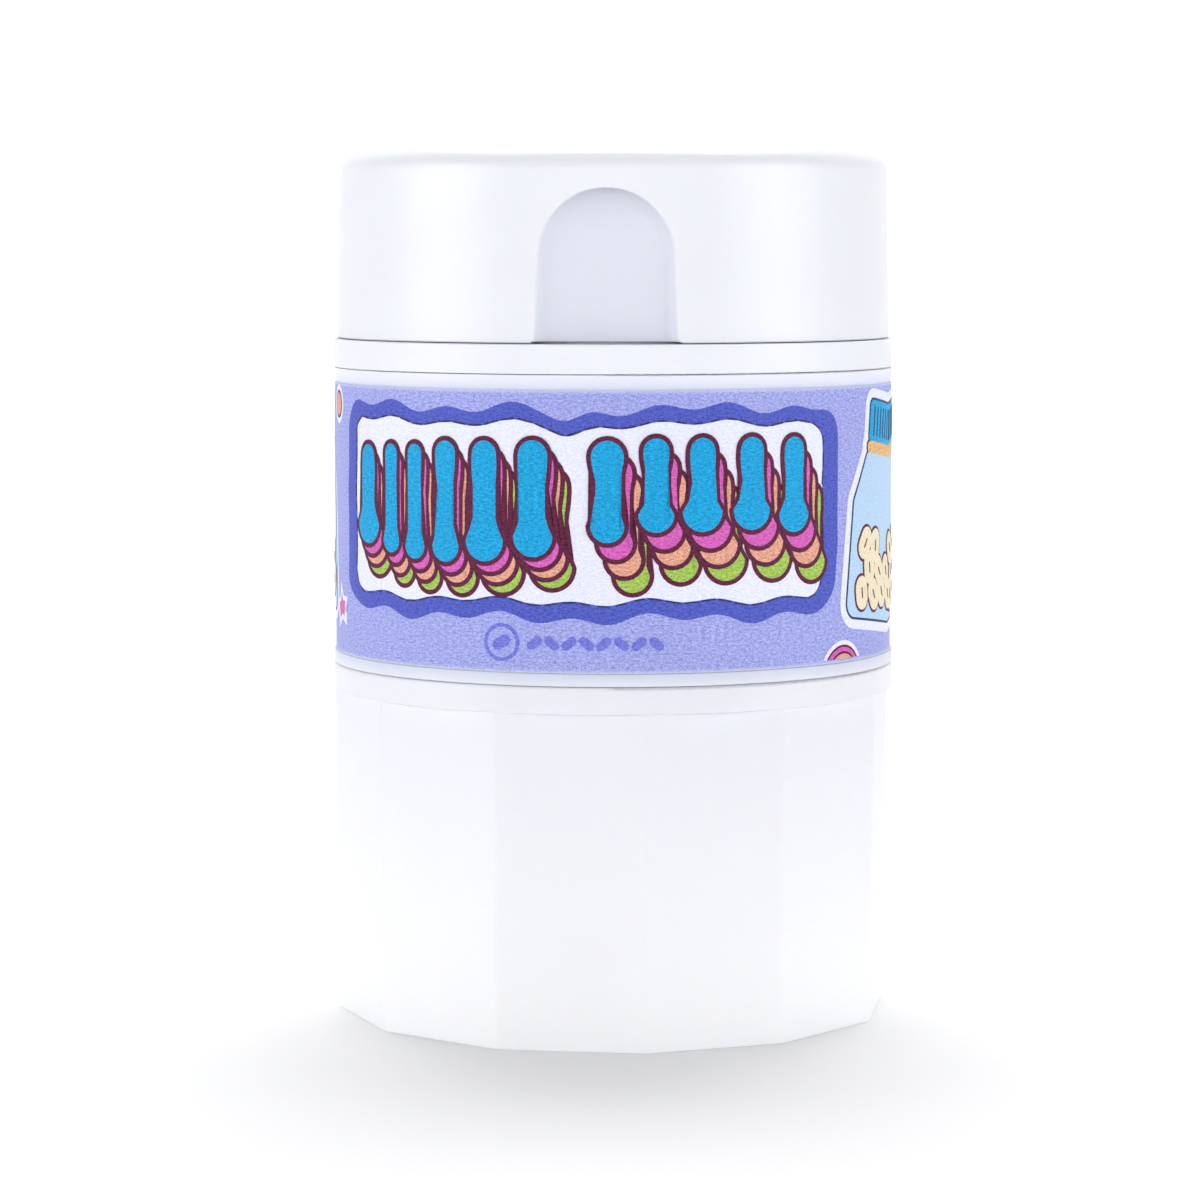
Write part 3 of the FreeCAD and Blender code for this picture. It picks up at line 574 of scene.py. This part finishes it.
parts = sticker_parts()
for name, part, layer, ink in (
        ("sticker_border", "border", 1, "white"), ("jar_line", "line", 3, "navy"),
        ("jar_glass", "glass", 4, "pale_blue"), ("jar_cap", "cap", 5, "blue"),
        ("jar_collar", "collar", 6, "amber"), ("jar_ribs", "rib", 7, "navy"),
        ("tablet_edges", "edge", 6, "maroon"), ("tablets", "tablet", 10, "cream"),
        ("tablet_scores", "score", 13, "maroon")):
    film("print_" + name, both(parts[part]), layer, INKS[ink])


def star(s, z, radius, turn):
    """Outline of a five-pointed star, turned so many degrees from upright."""
    points = []
    for k in range(10):
        r = radius if k % 2 == 0 else radius * 0.5
        a = math.radians(90 + turn + 36 * k)
        points.append((s + r * math.cos(a), z + r * math.sin(a)))
    return points


STAR = (-33.6, 38.3)
STAR_RADIUS, STAR_BORDER, STAR_TURN = 1.25, 1.05, 8
film("print_star_border", both([star(*STAR, STAR_RADIUS + STAR_BORDER, STAR_TURN)]), 1,
     INKS["white"])
film("print_star", both([star(*STAR, STAR_RADIUS, STAR_TURN)]), 2, INKS["pink"])

LOOSE_TABLET = (-34.6, SLEEVE_TOP - 1.9)
for layer, name, radius, ink in ((1, "border", 1.8, "white"), (2, "line", 1.3, "maroon"),
                                 (3, "tablet", 1.05, "orange")):
    film("print_loose_" + name, both([puffed([LOOSE_TABLET], radius)]), layer, INKS[ink])

# a tablet that the sleeve's lower edge cuts: its middle's place round the sleeve and depth under
# that edge, and the height over the edge where it stops
DOME_S, DOME_SUNK, DOME_CUT = 24.1, 1.45, 0.3
DOME_RINGS = ((3.4, "white"), (3.0, "maroon"), (2.8, "pink"), (2.4, "maroon"), (2.2, "orange"))


def dome(s, radius):
    """The part of a disc that shows above the sleeve's lower edge."""
    middle, low = SLEEVE_FOOT - DOME_SUNK, SLEEVE_FOOT + DOME_CUT
    start = math.asin((low - middle) / radius)
    angles = [start + (math.pi - 2 * start) * i / 16 for i in range(17)]
    return [(s + radius * math.cos(a), middle + radius * math.sin(a)) for a in angles]


for number, (radius, ink) in enumerate(DOME_RINGS):
    film(f"print_dome_{number}", both([dome(DOME_S, radius)]), number + 1, INKS[ink])

# the clear edge of the sleeve, which bridges to the rim below it
QUARTER = SLEEVE_ROUND / 4
EDGE_LOW, EDGE_HIGH = SLEEVE_FOOT - 0.04, SLEEVE_FOOT + 0.06
quarters = [[(s, EDGE_LOW), (s + QUARTER, EDGE_LOW), (s + QUARTER, EDGE_HIGH), (s, EDGE_HIGH)]
            for s in (QUARTER * i for i in range(4))]
film("sleeve_edge", quarters, 1, printed("sleeve_edge_film", colour(208, 212, 236), 0.3))

# ---- materials of the modelled nodes ------------------------------------------------------------
WHITE = colour(238, 239, 246)
CUP_WHITE = colour(248, 249, 252)
LID_WHITE = colour(231, 233, 240)
TRAY_WHITE = colour(232, 234, 242)
INNER_WHITE = colour(233, 235, 241)
SEAL_GREY = colour(200, 202, 206)
SCREW_GREY = colour(196, 198, 202)
EVEN = (1.0, 1.0, 1.0)
# painted shade, tinted with the sleeve's lavender, on the white just above and just below the
# sleeve
SHOULDER_PAINTED_SHADE = (SLEEVE_TOP, SLEEVE_TOP + 1.6, colour(210, 214, 236))
RIM_PAINTED_SHADE = (SLEEVE_FOOT, SLEEVE_FOOT - 2.0, colour(200, 205, 223))
# painted shade: the cup is painted darker towards its top, fading out towards its foot
CUP_PAINTED_SHADE = (SLEEVE_FOOT, 4.0, colour(226, 227, 235))
LID_LOW, LID_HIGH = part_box("lid_shell")
RECESS_FLOOR = 24.23
# painted shade of the thumb recess: floor depth, wall radii, cove and floor shade, darker upper end
RECESS_PAINTED_SHADE = (RECESS_FLOOR, (LID_LOW.z / MM, 25.78), (LID_HIGH.z / MM, 25.42),
                colour(209, 212, 224), colour(216, 218, 231), (72.0, 76.4, colour(198, 201, 212)))
finishes = {
    "drinking_cup": moulded("cup_white", CUP_WHITE, 0.34, painted_shade=CUP_PAINTED_SHADE),
    "crusher_base": moulded("crusher_white", WHITE, 0.33, painted_shade=RIM_PAINTED_SHADE),
    "crusher_plunger": moulded("plunger_white", WHITE, 0.34),
    "body_shell": moulded("body_white", WHITE, 0.33, painted_shade=SHOULDER_PAINTED_SHADE),
    "label_band": printed("sleeve_ground", INK["ground"], 1.0, True),
    "storage_tray": moulded("store_white", INNER_WHITE, 0.40),
    "storage_divider": moulded("divider_white", INNER_WHITE, 0.40),
    "cutter_tray": moulded("cutter_white", TRAY_WHITE, 0.33),
    "pill_holder": moulded("holder_violet", colour(140, 148, 214), 0.42),
    "lid_shell": moulded("lid_white", LID_WHITE, 0.32, recess_shade=RECESS_PAINTED_SHADE),
    "blade_holder": moulded("clamp_white", INNER_WHITE, 0.40),
    "grip_pads": rubber("pad_rubber", colour(196, 200, 216)),
    "cup_seal": rubber("cup_seal_rubber", SEAL_GREY),
    "crusher_seal": rubber("crusher_seal_rubber", SEAL_GREY),
    "cutter_seal": rubber("cutter_seal_rubber", SEAL_GREY),
    "holder_screws": brushed("screw_steel", SCREW_GREY, EVEN, 0.34),
    "blade_screws": brushed("clamp_screw_steel", SCREW_GREY, EVEN, 0.34),
    "hinge_pin": brushed("pin_steel", colour(190, 192, 196), (1.0, 0.1, 0.1), 0.32),
    "blade": brushed("blade_steel", colour(206, 208, 212), (1.0, 1.0, 0.05), 0.30),
}
for node, finish in finishes.items():
    for place in NODES[node].material_slots:
        place.material = finish

# ---- studio -------------------------------------------------------------------------------------
scene = bpy.context.scene
scene.view_settings.view_transform = "Standard"
scene.view_settings.look = "None"
scene.view_settings.exposure = 0.0
scene.view_settings.gamma = 1.0


PAPER_DARK, PAPER_PALE = (0.92, 0.92, 0.92, 1.0), (0.94, 0.94, 0.94, 1.0)
GLOW_FROM, GLOW_FULL, GLOW = 0.4, 1.0, 0.14     # the sweep shines a little behind the object


def sweep():
    """Pale floor that curves up behind the object."""
    front, reach, bend, height, wide = -1.5, 0.9, 0.7, 2.2, 1.6
    profile = [(front, 0.0), (reach, 0.0)]
    profile += [(reach + bend * math.sin(a), bend * (1 - math.cos(a)))
                for a in (math.pi / 2 * i / 16 for i in range(1, 17))]
    profile.append((reach + bend, height))
    mesh = bmesh.new()
    columns = [[mesh.verts.new((x, y, z)) for y, z in profile] for x in (-wide, wide)]
    for i in range(len(profile) - 1):
        mesh.faces.new((columns[0][i], columns[1][i], columns[1][i + 1], columns[0][i + 1]))
    data = bpy.data.meshes.new("studio_sweep")
    mesh.to_mesh(data)
    mesh.free()
    for face in data.polygons:
        face.use_smooth = True
    made = bpy.data.objects.new("studio_sweep", data)
    scene.collection.objects.link(made)
    look = Look("sweep_paper")
    tone = look.noise(look.place(), 6.0, 3.0, 0.5)
    depth = look.add("ShaderNodeSeparateXYZ", Vector=look.place()).outputs["Y"]
    look.set(Base_Color=look.mix(look.span(tone, 0.3, 0.7, 0.0, 1.0), PAPER_DARK, PAPER_PALE),
             Emission_Color=(1.0, 1.0, 1.0, 1.0),
             Emission_Strength=look.span(depth, GLOW_FROM, GLOW_FULL, 0.0, GLOW),
             Roughness=0.9, Specular_IOR_Level=0.1)
    data.materials.append(look.material)


def softbox(name, place, size, power, aim):
    """Oblong area light aimed at a point."""
    lamp = bpy.data.lights.new(name, "AREA")
    lamp.shape = "RECTANGLE"
    lamp.size, lamp.size_y = size
    lamp.energy = power
    made = bpy.data.objects.new(name, lamp)
    made.location = place
    made.rotation_euler = (Vector(aim) - Vector(place)).to_track_quat("-Z", "Y").to_euler()
    scene.collection.objects.link(made)


sweep()
MIDDLE = (0.0, 0.0, 0.045)
WALL = (0.0, 1.6, 0.7)
# name, place, size, power and aim
for lamp in (("key_left", (-1.25, -0.45, 0.30), (0.9, 0.5), 7.3, MIDDLE),
             ("fill_right", (1.25, -0.45, 0.30), (0.9, 0.5), 6.7, MIDDLE),
             ("front", (0.0, -1.5, 0.27), (2.0, 0.5), 8.1, MIDDLE),
             ("back_top", (0.0, 0.5, 1.1), (0.9, 0.6), 8.9, MIDDLE),
             ("wall_wash", (0.0, 0.3, 1.9), (2.4, 0.8), 13.4, WALL)):
    softbox(*lamp)
HORIZON, SKY = 0.85, 0.21       # the air is pale along the horizon and dimmer above it
AIR_LOW, AIR_HIGH = 0.07, 0.20  # the heights of the view's direction between which it changes
world = bpy.data.worlds.new("studio_air")
scene.world = world
world.use_nodes = True
air = world.node_tree.nodes["Background"]
air.inputs["Color"].default_value = (0.985, 0.99, 1.0, 1.0)
towards = world.node_tree.nodes.new("ShaderNodeTexCoord")
axes = world.node_tree.nodes.new("ShaderNodeSeparateXYZ")
glow = world.node_tree.nodes.new("ShaderNodeMapRange")
world.node_tree.links.new(towards.outputs["Generated"], axes.inputs[0])
world.node_tree.links.new(axes.outputs["Z"], glow.inputs["Value"])
for key, value in (("From Min", AIR_LOW), ("From Max", AIR_HIGH), ("To Min", HORIZON),
                   ("To Max", SKY)):
    glow.inputs[key].default_value = value
world.node_tree.links.new(glow.outputs["Result"], air.inputs["Strength"])

# ---- camera -------------------------------------------------------------------------------------
CAMERA_ROUND = 1.4          # degrees round the object from its front, towards +X
CAMERA_BACK = 0.3846        # metres from the object's axis
CAMERA_HEIGHT = 0.0720      # metres over the floor
CAMERA_DOWN = 5.02          # degrees that it looks down
CAMERA_TURN = 0.182         # degrees that it looks past the axis
LENS = 122.97
camera = bpy.data.cameras.new("camera")
camera.lens = LENS
camera.sensor_width = 36.0
camera.clip_start = 0.01
eye = bpy.data.objects.new("camera", camera)
around = math.radians(CAMERA_ROUND)
eye.location = (CAMERA_BACK * math.sin(around), -CAMERA_BACK * math.cos(around), CAMERA_HEIGHT)
eye.rotation_euler = (math.radians(90.0 - CAMERA_DOWN), 0.0, around + math.radians(CAMERA_TURN))
scene.collection.objects.link(eye)
scene.camera = eye
